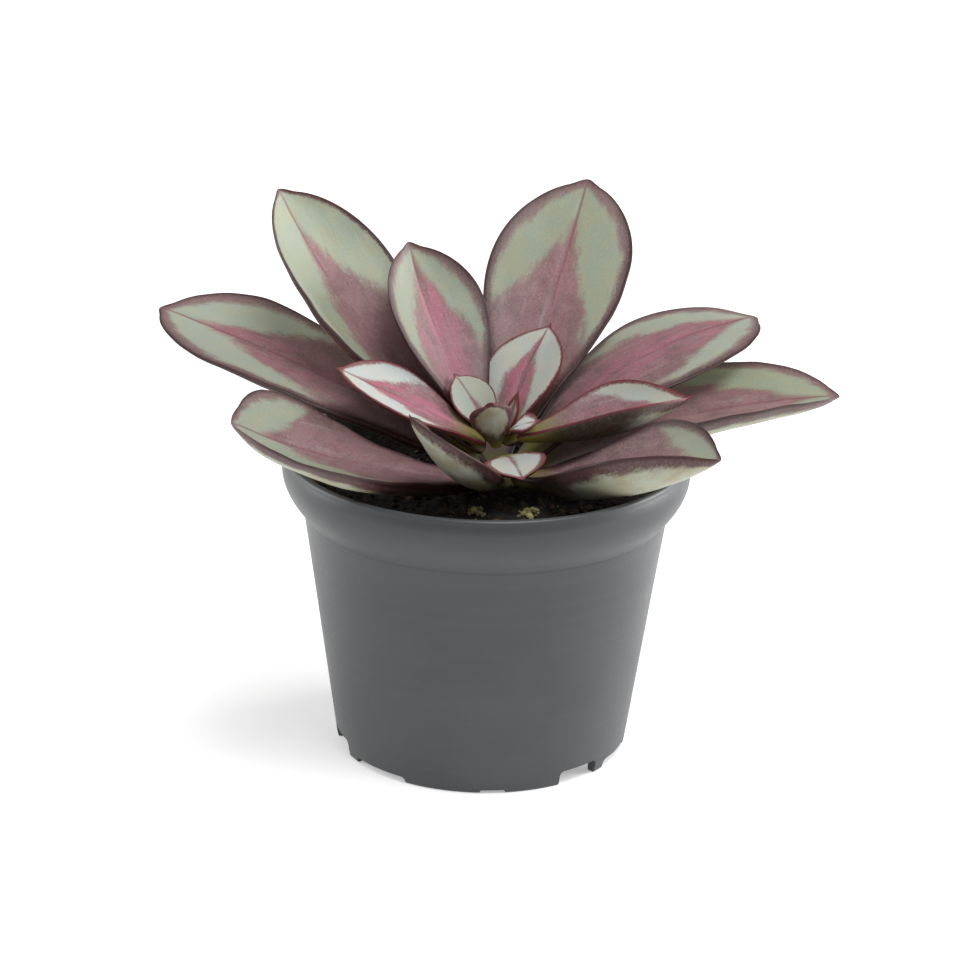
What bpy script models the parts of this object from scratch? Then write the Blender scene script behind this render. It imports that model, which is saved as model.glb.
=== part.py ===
"""A variegated rosette succulent in a grey 10.5 cm nursery pot.

The pot, the potting mix, the stem and each leaf are separate bodies. Metres, +Z up. The origin is on the
pot's axis, in the plane that the pot stands on.
"""

from collections import namedtuple
from math import cos, pi, radians, sin, sqrt

import bmesh
import bpy
from mathutils import Matrix, Vector

MM = 0.001

# Pot: a tapered wall that flares out into a wide rim, turned about +Z.
POT_HEIGHT = 80.6 * MM
BASE_RADIUS = 38.1 * MM
FLARE_RADIUS = 47.5 * MM  # where the wall starts to flare
FLARE_HEIGHT = 64.9 * MM
BULGE_RADIUS = 55.1 * MM  # control point of the flare's curve
BULGE_HEIGHT = 73.1 * MM
RIM_RADIUS = 52.5 * MM
WALL = 1.4 * MM
LIP = 2.2 * MM  # thickness of the rim's top edge
FLOOR = 1.6 * MM
FOOT_WIDTH = 2.4 * MM
FLOOR_RISE = 5.5 * MM  # the ring of the floor that carries the drain holes is this far up
CENTRE_FOOT_RADIUS = 13 * MM  # a flat-bottomed cup in the middle of the floor
CENTRE_FOOT_TAPER = 2 * MM
DRAIN_HOLES = 8
DRAIN_HOLE_RADIUS = 3.2 * MM
DRAIN_HOLE_SIDES = 16
POT_STEPS = 48
FLARE_POINTS = 7

# Notches in the foot ring: azimuth from +X in degrees, width in degrees, height.
FOOT_NOTCHES = (
    (-85, 10, 0.9 * MM),
    (-48, 19, 4.0 * MM),
    (-20, 26, 2.4 * MM),
    (-134, 27, 1.7 * MM),
    (-164, 20, 4.6 * MM),
    (20, 19, 4.0 * MM),
    (62, 22, 4.0 * MM),
    (104, 19, 2.4 * MM),
    (148, 22, 4.0 * MM),
)

# Potting mix: fills the pot to a finger's width below the rim.
MIX_TOP = 70.0 * MM
MIX_DOME = 1.2 * MM
GAP = 0.3 * MM  # left between pieces that touch
MIX_BOTTOM = FLOOR_RISE + FLOOR + GAP
MIX_EDGE_SLOPE = 0.55  # radius gained per unit of height in the mix's top edge
MIX_STEPS = 40

# Stem: stands a little to the +X side of the pot's axis.
CROWN = Vector((3.6 * MM, 0, 0))
STEM_RADIUS = 4.4 * MM
STEM_TOP_RADIUS = 2.6 * MM
STEM_BOTTOM = 48 * MM
STEM_TOP = 78.5 * MM
STEM_SHOULDER = 72 * MM
STEM_STEPS = 16
SOCKET_CLEARANCE = 5 * MM  # how far the cutter of the stem's socket stands above the mix

# Leaves. Each springs from the stem at root_radius from its axis and root_height above the table. heading is
# the compass direction at mid-length, in degrees from +X towards +Y. lift is the rise over the horizontal at
# the root and at the tip. twist turns the blade about its midrib, left side up. The left and right halves
# curl upwards to these angles at their margins. bend is how far the heading turns from root to tip. widest is
# how far along the leaf its greatest width is, and point how sharply it closes: 0.5 is round. A higher neck
# keeps the leaf narrow for longer above its root.
Leaf = namedtuple(
    "Leaf",
    "name heading lift_root lift_tip length width twist curl_left curl_right bend"
    " root_radius root_height widest point thickness neck",
)
LEAVES = (
    Leaf("leaf_01_front_left", 208, 11, 29, 76.5, 43, -22, 55, 2, -27, 5.4, 73.2, 0.78, 0.45, 5.2, 2.4),
    Leaf("leaf_02_front_right", -38, 5, 30, 66.8, 38.1, 9, 70, 82, 9, 5.4, 74.2, 0.66, 0.55, 4.6, 2.2),
    Leaf("leaf_03_left", 161, 28, 11, 95.7, 37.3, -10, 19, 22, -14, 5.4, 75.3, 0.74, 0.65, 5.2, 1.25),
    Leaf("leaf_04_right", 8, 26, 2, 86, 38.5, 15, 10, 62, -2, 5.4, 72.2, 0.66, 0.58, 4.2, 1.7),
    Leaf("leaf_05_back_right", 32, 45, -1, 81.8, 36.3, 4, 2, 2, 8, 5.2, 74.8, 0.66, 0.60, 4.0, 1.7),
    Leaf("leaf_06_back_left", 149, 29, 57, 88.1, 39.8, -7, 48, 43, -11, 5.0, 79.1, 0.66, 0.60, 4.2, 1.7),
    Leaf("leaf_07_back", 69, 38, 52, 79.9, 40.5, 1, 22, 23, -2, 5.2, 80.1, 0.66, 0.60, 4.4, 1.7),
    Leaf("leaf_08_low_back", 97, 8, 14, 58.1, 32.0, 0, 25, 25, 0, 5.4, 73.7, 0.66, 0.65, 4.0, 1.7),
    Leaf("leaf_09_middle_back", 130, 44, 62, 56.2, 32.7, 2, 40, 37, -15, 4.4, 81.9, 0.66, 0.60, 3.8, 1.7),
    Leaf("leaf_10_middle_right", -2, 7, 24, 46, 26.5, 10, 58, 86, 18, 4.2, 84.5, 0.58, 0.90, 3.0, 1.7),
    Leaf("leaf_11_middle_left", 185, 31, 25, 42.9, 22.3, -16, 30, 27, -19, 4.2, 82.9, 0.62, 0.70, 3.0, 1.7),
    Leaf("leaf_12_middle_centre", 61, 47, 45, 32.9, 24.5, -9, 16, 20, -22, 3.8, 83.2, 0.62, 0.85, 3.2, 1.7),
    Leaf("leaf_13_front_folded", 236, 6, 61, 53, 21.5, -12, 58, 52, -46, 5.2, 75.1, 0.60, 0.80, 3.4, 1.5),
    Leaf("leaf_14_front_small", -79, 11, 1, 23.0, 16.8, 7, 30, 29, -6, 4.4, 80.3, 0.60, 0.55, 2.6, 1.7),
    Leaf("leaf_15_inner_left", 146, 57, 44, 18.1, 15.2, -6, 13, 22, -1, 2.8, 83.6, 0.60, 0.60, 2.3, 1.7),
    Leaf("leaf_16_inner_front", -112, 64, 75, 13.7, 11.8, 27, 36, 27, 10, 2.2, 81.9, 0.72, 0.45, 1.8, 1.7),
    Leaf("leaf_17_inner_right", -20, 31, 21, 8.4, 7.2, 26, 35, 26, 2, 2.4, 86.1, 0.62, 0.50, 1.8, 1.7),
    Leaf("leaf_18_heart", 39, 65, 74, 11.5, 4.4, 9, 29, 28, 2, 1.4, 84.4, 0.50, 0.85, 1.4, 1.7),
)
LEAF_SEGMENTS = 14
LEAF_RINGS = 14
SPINE_STEPS = 80
POLE_RING = 1e-4  # a ring under this radius on the unit sphere is its pole
ROOT_WIDTH = 0.22  # of the greatest width
ROOT_ROUND = 0.05  # the share of the length in which the root rounds off
UPPER_SHARE = 0.35  # of the thickness, above the blade's middle surface
MUCRO = 1.2 * MM  # the soft point at the tip
MUCRO_START = 0.985  # how far along the leaf the soft point begins
FULLNESS = 0.38  # how much of the thickness swells and fades along the leaf


def clear_scene():
    for obj in list(bpy.data.objects):
        bpy.data.objects.remove(obj)


def new_collection(name):
    collection = bpy.data.collections.new(name)
    bpy.context.scene.collection.children.link(collection)
    return collection


def finish(name, colour, roughness):
    material = bpy.data.materials.new(name)
    material.use_nodes = True
    shader = material.node_tree.nodes["Principled BSDF"]
    shader.inputs["Base Color"].default_value = (*colour, 1)
    shader.inputs["Roughness"].default_value = roughness
    shader.inputs["Metallic"].default_value = 0
    return material


def add_object(name, mesh, collection, material=None):
    obj = bpy.data.objects.new(name, mesh)
    collection.objects.link(obj)
    if material:
        mesh.materials.append(material)
    return obj


def turned(name, profile, steps, collection, material=None):
    """A profile of (radius, height) pairs that runs down its outer side, turned once about +Z."""
    mesh = bpy.data.meshes.new(name)
    edges = [(i, i + 1) for i in range(len(profile) - 1)]
    mesh.from_pydata([(r, 0, z) for r, z in profile], edges, [])
    obj = add_object(name, mesh, collection, material)
    screw = obj.modifiers.new("turn", "SCREW")
    screw.steps = steps
    screw.render_steps = steps
    screw.use_merge_vertices = True
    screw.merge_threshold = 0.00001
    screw.use_smooth_shade = True
    return obj


def cut(obj, cutter):
    boolean = obj.modifiers.new(cutter.name, "BOOLEAN")
    boolean.operation = "DIFFERENCE"
    boolean.solver = "EXACT"
    boolean.object = cutter


def hide_cutter(obj):
    obj.hide_render = True
    obj.display_type = "WIRE"
    return obj


def flare(count):
    """The wall's flare, from its start up to the rim: a quadratic curve."""
    start = Vector((FLARE_RADIUS, FLARE_HEIGHT))
    middle = Vector((BULGE_RADIUS, BULGE_HEIGHT))
    end = Vector((RIM_RADIUS, POT_HEIGHT - LIP / 2))
    steps = [i / (count - 1) for i in range(count)]
    return [start * (1 - t) ** 2 + middle * 2 * t * (1 - t) + end * t**2 for t in steps]


def wall_radius(height):
    """Outer radius of the straight wall at a height."""
    return BASE_RADIUS + (FLARE_RADIUS - BASE_RADIUS) * height / FLARE_HEIGHT


def pot_profile():
    outside = [(p.x, p.y) for p in reversed(flare(FLARE_POINTS))]
    outside.append((BASE_RADIUS, 0))
    lip = [(RIM_RADIUS - LIP, POT_HEIGHT - LIP / 3), (RIM_RADIUS - LIP * 0.7, POT_HEIGHT)]
    lip.append((RIM_RADIUS - LIP * 0.3, POT_HEIGHT))
    inside = [(p.x - WALL, p.y) for p in flare(FLARE_POINTS)[:-1]]
    foot_inside = BASE_RADIUS - FOOT_WIDTH
    below = [
        (foot_inside, 0),
        (foot_inside, FLOOR_RISE),
        (CENTRE_FOOT_RADIUS, FLOOR_RISE),
        (CENTRE_FOOT_RADIUS - CENTRE_FOOT_TAPER, 0),
        (0, 0),
    ]
    cup_top = CENTRE_FOOT_RADIUS - FLOOR / 2
    floor_top = [
        (0, FLOOR),
        (cup_top - CENTRE_FOOT_TAPER, FLOOR),
        (cup_top, FLOOR_RISE + FLOOR),
        (wall_radius(FLOOR_RISE + FLOOR) - WALL, FLOOR_RISE + FLOOR),
    ]
    return floor_top + inside + lip + outside + below


def drain_cutters(collection):
    """The round holes in the raised ring of the floor, as one cutter."""
    mesh = bpy.data.meshes.new("drain_holes")
    build = bmesh.new()
    ring_radius = (CENTRE_FOOT_RADIUS + BASE_RADIUS - FOOT_WIDTH) / 2
    for i in range(DRAIN_HOLES):
        turn = Matrix.Rotation(2 * pi * (i + 0.5) / DRAIN_HOLES, 4, "Z")
        place = turn @ Matrix.Translation((ring_radius, 0, FLOOR_RISE + FLOOR / 2))
        bmesh.ops.create_cone(
            build,
            cap_ends=True,
            segments=DRAIN_HOLE_SIDES,
            radius1=DRAIN_HOLE_RADIUS,
            radius2=DRAIN_HOLE_RADIUS,
            depth=3 * FLOOR,
            matrix=place,
        )
    build.to_mesh(mesh)
    build.free()
    return hide_cutter(add_object("drain_holes", mesh, collection))


def notch_cutters(collection):
    """Blocks that cut the notches in the foot ring, as one cutter."""
    mesh = bpy.data.meshes.new("foot_notches")
    build = bmesh.new()
    reach = 3 * FOOT_WIDTH
    middle = BASE_RADIUS - FOOT_WIDTH / 2
    for azimuth, width, height in FOOT_NOTCHES:
        across = 2 * BASE_RADIUS * sin(radians(width) / 2)
        size = Matrix.Diagonal((reach, across, 2 * height, 1))
        place = Matrix.Rotation(radians(azimuth), 4, "Z") @ Matrix.Translation((middle, 0, 0))
        bmesh.ops.create_cube(build, size=1, matrix=place @ size)
    build.to_mesh(mesh)
    build.free()
    return hide_cutter(add_object("foot_notches", mesh, collection))


def make_pot(collection, cutters):
    grey = finish("grey_plastic", (0.16, 0.165, 0.17), 0.5)
    pot = turned("pot", pot_profile(), POT_STEPS, collection, grey)
    cut(pot, drain_cutters(cutters))
    cut(pot, notch_cutters(cutters))


def make_potting_mix(collection, cutters):
    brown = finish("dark_potting_mix", (0.03, 0.02, 0.014), 0.95)
    side = [(p.x - WALL - GAP, p.y) for p in flare(FLARE_POINTS) if p.y < MIX_TOP]
    edge = side[-1][0] + (MIX_TOP - side[-1][1]) * MIX_EDGE_SLOPE
    profile = [(0, MIX_TOP + MIX_DOME), (edge * 0.55, MIX_TOP + MIX_DOME * 0.6), (edge, MIX_TOP)]
    profile += reversed(side)
    profile += [(wall_radius(MIX_BOTTOM) - WALL - GAP, MIX_BOTTOM), (0, MIX_BOTTOM)]
    mix = turned("potting_mix", profile, MIX_STEPS, collection, brown)
    socket = [
        (0, MIX_TOP + SOCKET_CLEARANCE),
        (STEM_RADIUS + GAP, MIX_TOP + SOCKET_CLEARANCE),
        (STEM_RADIUS + GAP, STEM_BOTTOM - GAP),
        (0, STEM_BOTTOM - GAP),
    ]
    cutter = hide_cutter(turned("stem_socket", socket, STEM_STEPS, cutters))
    cutter.location = CROWN
    cut(mix, cutter)


def make_stem(collection):
    green = finish("stem_bark", (0.16, 0.15, 0.06), 0.7)
    profile = [
        (0, STEM_TOP),
        (STEM_TOP_RADIUS * 0.7, STEM_TOP - 0.5 * MM),
        (STEM_TOP_RADIUS, STEM_TOP - 1.5 * MM),
        (STEM_RADIUS, STEM_SHOULDER),
        (STEM_RADIUS, STEM_BOTTOM),
        (0, STEM_BOTTOM),
    ]
    turned("stem", profile, STEM_STEPS, collection, green).location = CROWN


def outline(leaf, along):
    """Half-width at a place along the leaf, as a share of half its greatest width."""
    if along < leaf.widest:
        rise = sin(pi / 2 * along / leaf.widest) ** leaf.neck
        share = ROOT_WIDTH + (1 - ROOT_WIDTH) * rise
    else:
        share = max(0, 1 - ((along - leaf.widest) / (1 - leaf.widest)) ** 2) ** leaf.point
    root = min(1, along / ROOT_ROUND)
    return share * sqrt(1 - (1 - root) ** 2)


def thickness(leaf, along):
    """Thickness at the midrib: fullest two fifths of the way up, thin at the tip."""
    root = min(1, along / ROOT_ROUND)
    swell = 1 - FULLNESS + FULLNESS * sin(pi * min(1, 1.25 * along))
    share = swell * sqrt(max(0, 1 - along**6))
    return leaf.thickness * MM * share * sqrt(1 - (1 - root) ** 2)


def direction(leaf, along):
    """Unit vectors along the leaf, to its left and out of its upper face."""
    heading = radians(leaf.heading + leaf.bend * (along - 0.5))
    lift = radians(leaf.lift_root + (leaf.lift_tip - leaf.lift_root) * along)
    forward = Vector((cos(lift) * cos(heading), cos(lift) * sin(heading), sin(lift)))
    left = Vector((-sin(heading), cos(heading), 0))
    up = forward.cross(left)
    turn = radians(leaf.twist)
    return forward, left * cos(turn) + up * sin(turn), up * cos(turn) - left * sin(turn)


def spine(leaf):
    """Points along the midrib, evenly spaced from the root to the tip."""
    start = radians(leaf.heading - leaf.bend / 2)
    root = Vector((cos(start), sin(start), 0)) * leaf.root_radius * MM
    point = CROWN + root + Vector((0, 0, leaf.root_height * MM))
    points = [point]
    for i in range(SPINE_STEPS):
        forward, _, _ = direction(leaf, (i + 0.5) / SPINE_STEPS)
        point = point + forward * leaf.length * MM / SPINE_STEPS
        points.append(point)
    return points


def on_leaf(leaf, points, along, across, above):
    """Where a point of the blade is: across runs from -1 to 1 (left), above from -1 (under) to 1."""
    place = along * SPINE_STEPS
    i = min(int(place), SPINE_STEPS - 1)
    middle = points[i].lerp(points[i + 1], place - i)
    forward, left, up = direction(leaf, along)
    half = leaf.width * MM / 2 * outline(leaf, along)
    curl = radians(max(1, leaf.curl_left if across > 0 else leaf.curl_right))
    turn = curl * across
    middle += left * half * sin(turn) / curl + up * half * (1 - cos(turn)) / curl
    normal = up * cos(turn) - left * sin(turn)
    share = UPPER_SHARE if above > 0 else 1 - UPPER_SHARE
    tip = max(0, (along - MUCRO_START) / (1 - MUCRO_START))
    return middle + normal * thickness(leaf, along) * share * above + forward * MUCRO * tip**2


def make_leaf(leaf, collection, material):
    """A sphere whose poles become the leaf's root and tip, and whose rings its cross-sections."""
    mesh = bpy.data.meshes.new(leaf.name)
    build = bmesh.new()
    bmesh.ops.create_uvsphere(build, u_segments=LEAF_SEGMENTS, v_segments=LEAF_RINGS, radius=1)
    points = spine(leaf)
    for vertex in build.verts:
        ring = sqrt(max(0, 1 - vertex.co.z**2))
        across, above = vertex.co.xy / ring if ring > POLE_RING else (0, 0)
        vertex.co = on_leaf(leaf, points, (1 + vertex.co.z) / 2, across, above)
    bmesh.ops.recalc_face_normals(build, faces=build.faces)
    build.to_mesh(mesh)
    build.free()
    mesh.shade_smooth()
    add_object(leaf.name, mesh, collection, material)


def main():
    clear_scene()
    parts = new_collection("potted_succulent")
    cutters = new_collection("cutters")
    make_pot(parts, cutters)
    make_potting_mix(parts, cutters)
    make_stem(parts)
    outer = finish("outer_leaf", (0.42, 0.30, 0.32), 0.5)
    inner = finish("inner_leaf", (0.55, 0.45, 0.44), 0.45)
    for leaf in LEAVES:
        make_leaf(leaf, parts, outer if leaf.length > 50 else inner)


main()
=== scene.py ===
"""The looks of a potted rosette succulent, built around its packed CAD frame.

Every node of the frame gets a fine mesh in its place: the leaves, made by one Geometry Nodes tree, the
pot, the potting mix with its scattered crumbs, and the stem. Metres, +Z up, the pot's axis on Z.
"""

from collections import namedtuple
from functools import partialmethod
from math import cos, pi, radians, sin

import bmesh
import bpy
from mathutils import Matrix, Vector, noise


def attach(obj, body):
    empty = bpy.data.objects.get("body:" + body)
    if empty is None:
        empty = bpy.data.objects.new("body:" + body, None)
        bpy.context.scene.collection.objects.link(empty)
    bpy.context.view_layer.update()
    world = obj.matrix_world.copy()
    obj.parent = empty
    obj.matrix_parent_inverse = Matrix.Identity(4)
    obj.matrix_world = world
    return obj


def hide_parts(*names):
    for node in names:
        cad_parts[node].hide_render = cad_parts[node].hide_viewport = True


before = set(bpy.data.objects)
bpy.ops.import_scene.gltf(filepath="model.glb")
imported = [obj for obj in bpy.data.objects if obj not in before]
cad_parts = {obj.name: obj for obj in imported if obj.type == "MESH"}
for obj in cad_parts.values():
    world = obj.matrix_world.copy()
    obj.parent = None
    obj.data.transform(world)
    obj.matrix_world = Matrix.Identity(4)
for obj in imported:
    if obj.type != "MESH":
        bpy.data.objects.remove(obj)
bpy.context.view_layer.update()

bl_info = {
    "name": "Potted Rosette Succulent",
    "version": (1, 0, 0),
    "blender": (4, 5, 0),
    "location": "3D View > Sidebar > Succulent",
    "description": "Builds a variegated rosette succulent in a round nursery pot",
    "category": "Add Mesh",
}

MM = 0.001
BODY = "root"

# Leaves. Each springs from the stem at root_radius from its axis and root_height above the table.
# heading is the compass direction at mid-length, in degrees from +X towards +Y. lift is the rise over
# the horizontal at the root and at the tip. twist turns the blade about its midrib, left side up. The
# left and right halves curl upwards to these angles at their margins. bend is how far the heading turns
# from root to tip. widest is how far along the leaf its greatest width is, and point how sharply it
# closes: 0.5 is round. A higher neck keeps the leaf narrow for longer above its root. Lengths are in
# millimetres, angles in degrees.
Leaf = namedtuple(
    "Leaf",
    "name heading lift_root lift_tip length width twist curl_left curl_right bend"
    " root_radius root_height widest point thickness neck marking",
)

# How a leaf is marked. A mauve flame runs up the midrib. It covers the whole blade below cover_left and
# cover_right, and narrows from there to a line at tip: a higher curve makes it narrow sooner. pink is
# how vivid it is, white how pale the patches beside it are, and band the mauve margin in millimetres.
# The last number is painted shade: how light the whole upper face is, lower on leaves that the light
# falls on more brightly.
Marking = namedtuple("Marking", "cover_left cover_right tip curve pink white band tone")

# Two rows for each leaf: its name and shape, then its marking.
LEAF_ROWS = (
    ("leaf_01_front_left", 208, 11, 29, 76.5, 43, -22, 55, 2, -27, 5.4, 73.2, 0.78, 0.45, 5.2, 2.4),
    (0.4, 0.66, 0.93, 1.5, 0.1, 0.1, 2.8, 0.72),
    ("leaf_02_front_right", -38, 5, 30, 66.8, 38.1, 9, 70, 82, 9, 5.4, 74.2, 0.66, 0.55, 4.6, 2.2),
    (0.62, 0.45, 1, 1.2, 0.1, 0.1, 1.8, 0.9),
    ("leaf_03_left", 161, 28, 11, 95.7, 37.3, -10, 19, 22, -14, 5.4, 75.3, 0.74, 0.65, 5.2, 1.25),
    (0.4, 0.5, 0.93, 1.5, 0.35, 0.2, 2.8, 1),
    ("leaf_04_right", 8, 26, 2, 86, 38.5, 15, 10, 62, -2, 5.4, 72.2, 0.66, 0.58, 4.2, 1.7),
    (0.45, 0.62, 0.98, 1.3, 0.05, -0.05, 2.4, 0.92),
    ("leaf_05_back_right", 32, 45, -1, 81.8, 36.3, 4, 2, 2, 8, 5.2, 74.8, 0.66, 0.6, 4, 1.7),
    (0.3, 0.42, 1, 1, 0.5, 0.2, 2.6, 0.85),
    ("leaf_06_back_left", 149, 29, 57, 88.1, 39.8, -7, 48, 43, -11, 5, 79.1, 0.66, 0.6, 4.2, 1.7),
    (0.18, 0.48, 0.92, 1.5, 0.1, 0.05, 1, 1),
    ("leaf_07_back", 69, 38, 52, 79.9, 40.5, 1, 22, 23, -2, 5.2, 80.1, 0.66, 0.6, 4.4, 1.7),
    (0.47, 0.33, 0.9, 1.5, 0.15, 0, 2.6, 0.93),
    ("leaf_08_low_back", 97, 8, 14, 58.1, 32, 0, 25, 25, 0, 5.4, 73.7, 0.66, 0.65, 4, 1.7),
    (0.45, 0.45, 0.95, 1.5, 0.15, 0.1, 2.2, 0.9),
    ("leaf_09_middle_back", 130, 44, 62, 56.2, 32.7, 2, 40, 37, -15, 4.4, 81.9, 0.66, 0.6, 3.8, 1.7),
    (0.28, 0.38, 0.97, 1.15, 0.75, 0.05, 2.4, 0.8),
    ("leaf_10_middle_right", -2, 7, 24, 46, 26.5, 10, 58, 86, 18, 4.2, 84.5, 0.58, 0.9, 3, 1.7),
    (0.45, 0.3, 1, 1.2, 0.65, 0.55, 1, 0.9),
    ("leaf_11_middle_left", 185, 31, 25, 42.9, 22.3, -16, 30, 27, -19, 4.2, 82.9, 0.62, 0.7, 3, 1.7),
    (0.3, 0.42, 0.98, 1.5, 0.85, 0.85, 1, 0.92),
    ("leaf_12_middle_centre", 61, 47, 45, 32.9, 24.5, -9, 16, 20, -22, 3.8, 83.2, 0.62, 0.85, 3.2, 1.7),
    (0.05, -0.1, 1, 1.3, 0.7, 0.6, 0.8, 1),
    ("leaf_13_front_folded", 236, 6, 61, 53, 21.5, -12, 58, 52, -46, 5.2, 75.1, 0.6, 0.8, 3.4, 1.5),
    (0.4, 0.4, 0.95, 1.3, 0.3, 0.35, 1.6, 0.8),
    ("leaf_14_front_small", -79, 11, 1, 23, 16.8, 7, 30, 29, -6, 4.4, 80.3, 0.6, 0.55, 2.6, 1.7),
    (-0.6, -0.6, 0.95, 2.5, 0.5, 0.8, 1.6, 0.88),
    ("leaf_15_inner_left", 146, 57, 44, 18.1, 15.2, -6, 13, 22, -1, 2.8, 83.6, 0.6, 0.6, 2.3, 1.7),
    (-0.3, -0.2, 0.85, 1.8, 0.1, 0.3, 0.4, 0.82),
    ("leaf_16_inner_front", -112, 64, 75, 13.7, 11.8, 27, 36, 27, 10, 2.2, 81.9, 0.72, 0.45, 1.8, 1.7),
    (-0.1, -0.1, 0.9, 1.5, 0.3, 0.2, 1, 1),
    ("leaf_17_inner_right", -20, 31, 21, 8.4, 7.2, 26, 35, 26, 2, 2.4, 86.1, 0.62, 0.5, 1.8, 1.7),
    (-0.4, -0.4, 0.6, 2, 0.2, 1, 1.1, 1),
    ("leaf_18_heart", 39, 65, 74, 11.5, 4.4, 9, 29, 28, 2, 1.4, 84.4, 0.5, 0.85, 1.4, 1.7),
    (0.1, 0.1, 1, 1, 0.7, 0.3, 0.8, 0.9),
)
LEAVES = [Leaf(*shape, Marking(*marks)) for shape, marks in zip(LEAF_ROWS[::2], LEAF_ROWS[1::2])]
CROWN = Vector((3.6 * MM, 0, 0))  # where the stem's axis meets the table
INNER_LENGTH = 50  # leaves shorter than this are inner ones
DARK_BELOW = ("leaf_10_middle_right", "leaf_11_middle_left")  # olive darkened as painted shade over most of their underside

# Pot: the same tapered wall and flared rim as the frame's, turned much finer.
POT_HEIGHT = 80.6 * MM
BASE_RADIUS = 38.1 * MM
FLARE_RADIUS = 47.5 * MM
FLARE_HEIGHT = 64.9 * MM
BULGE = Vector((55.1 * MM, 73.1 * MM))
RIM_RADIUS = 52.5 * MM
WALL = 1.4 * MM
LIP = 2.2 * MM
FLOOR = 1.6 * MM
FLOOR_RISE = 5.5 * MM
FOOT_WIDTH = 2.4 * MM
CENTRE_FOOT_RADIUS = 13 * MM
CENTRE_FOOT_TAPER = 2 * MM
DRAIN_HOLES = 8
DRAIN_HOLE_RADIUS = 3.2 * MM
FOOT_NOTCHES = (  # azimuth, width in degrees, height in millimetres
    (-85, 10, 0.9),
    (-48, 19, 4.0),
    (-20, 26, 2.4),
    (-134, 27, 1.7),
    (-164, 20, 4.6),
    (20, 19, 4.0),
    (62, 22, 4.0),
    (104, 19, 2.4),
    (148, 22, 4.0),
)

MIX_TOP = 70.0 * MM
MIX_DOME = 1.2 * MM
GAP = 0.3 * MM
MIX_BOTTOM = FLOOR_RISE + FLOOR + GAP

STEM_RADIUS = 4.4 * MM
STEM_TOP_RADIUS = 2.6 * MM
STEM_BOTTOM = 48 * MM
STEM_TOP = 78.5 * MM
STEM_SHOULDER = 72 * MM


# ---------- Node trees ----------


class Socket:
    """An output socket that takes part in arithmetic: each operator adds its own Math node."""

    def __init__(self, tree, socket):
        self.tree = tree
        self.socket = socket

    def math(self, operation, *others, first=None):
        """This socket, or first in its place, and the others through one Math node."""
        values = dict(enumerate((self if first is None else first, *others)))
        return add(self.tree, "ShaderNodeMath", {"operation": operation}, values)

    def __rsub__(self, other):
        return self.math("SUBTRACT", self, first=other)

    def __neg__(self):
        return self.math("MULTIPLY", -1)

    __add__ = __radd__ = partialmethod(math, "ADD")
    __mul__ = __rmul__ = partialmethod(math, "MULTIPLY")
    __sub__ = partialmethod(math, "SUBTRACT")
    __truediv__ = partialmethod(math, "DIVIDE")
    __pow__ = partialmethod(math, "POWER")
    sin = partialmethod(math, "SINE")
    cos = partialmethod(math, "COSINE")
    sqrt = partialmethod(math, "SQRT")
    size = partialmethod(math, "ABSOLUTE")
    least = partialmethod(math, "MINIMUM")
    most = partialmethod(math, "MAXIMUM")
    over = partialmethod(math, "GREATER_THAN")  # 1 or 0

    def step(self, low, high, start=0, end=1):
        """A smooth step from start to end as this goes from low to high. high may be under low."""
        settings = {"interpolation_type": "SMOOTHSTEP"}
        values = {"Value": self, "From Min": low, "From Max": high, "To Min": start, "To Max": end}
        return add(self.tree, "ShaderNodeMapRange", settings, values)


def add(tree, kind, settings=None, values=None, out=0):
    """Adds a node, sets its settings, then its sockets by name or number. Returns an output of it."""
    node = tree.nodes.new(kind)
    for name, value in (settings or {}).items():
        setattr(node, name, value)
    for key, value in (values or {}).items():
        if isinstance(value, Socket):
            tree.links.new(value.socket, node.inputs[key])
        else:
            node.inputs[key].default_value = value
    return Socket(tree, node.outputs[out])


def tree_of(*values):
    """The tree of the first socket among values."""
    return next(value.tree for value in values if isinstance(value, Socket))


def combine(x, y, z):
    return add(tree_of(x, y, z), "ShaderNodeCombineXYZ", values={0: x, 1: y, 2: z})


def split(vector):
    """The x, y and z of a vector."""
    return [add(vector.tree, "ShaderNodeSeparateXYZ", values={0: vector}, out=i) for i in range(3)]


def vector_math(operation, a, b):
    return add(a.tree, "ShaderNodeVectorMath", {"operation": operation}, {0: a, 1: b})


def scaled(vector, factor):
    values = {0: vector, "Scale": factor}
    return add(vector.tree, "ShaderNodeVectorMath", {"operation": "SCALE"}, values)


def weighted(*pairs):
    """The sum of vectors, each times its weight."""
    total = None
    for vector, weight in pairs:
        part = scaled(vector, weight)
        total = part if total is None else vector_math("ADD", total, part)
    return total


def noise_of(place, scale, detail=3.0, roughness=0.55):
    values = {"Vector": place, "Scale": scale, "Detail": detail, "Roughness": roughness}
    return add(place.tree, "ShaderNodeTexNoise", {"noise_dimensions": "3D"}, values)


def rgba(colour):
    return colour if isinstance(colour, Socket) else (*colour, 1)


def mix(share, a, b):
    """Colour a turned to colour b by a share."""
    settings = {"data_type": "RGBA", "clamp_factor": True}
    values = {0: share, 6: rgba(a), 7: rgba(b)}
    return add(tree_of(share, a, b), "ShaderNodeMix", settings, values, out=2)


def attribute(tree, name):
    return add(tree, "ShaderNodeAttribute", {"attribute_name": name}, out="Fac")


def new_material(name, roughness, **constants):
    """(material, its node tree, its Principled shader). Constants go on the shader's own sockets."""
    material = bpy.data.materials.new(name)
    material.use_nodes = True
    shader = material.node_tree.nodes["Principled BSDF"]
    shader.inputs["Roughness"].default_value = roughness
    for key, value in constants.items():
        shader.inputs[key.replace("_", " ").title()].default_value = value
    return material, material.node_tree, shader


def feed(shader, name, value):
    shader.id_data.links.new(value.socket, shader.inputs[name])


def bump(shader, height, strength, distance):
    values = {"Height": height, "Strength": strength, "Distance": distance}
    feed(shader, "Normal", add(height.tree, "ShaderNodeBump", values=values))


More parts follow.
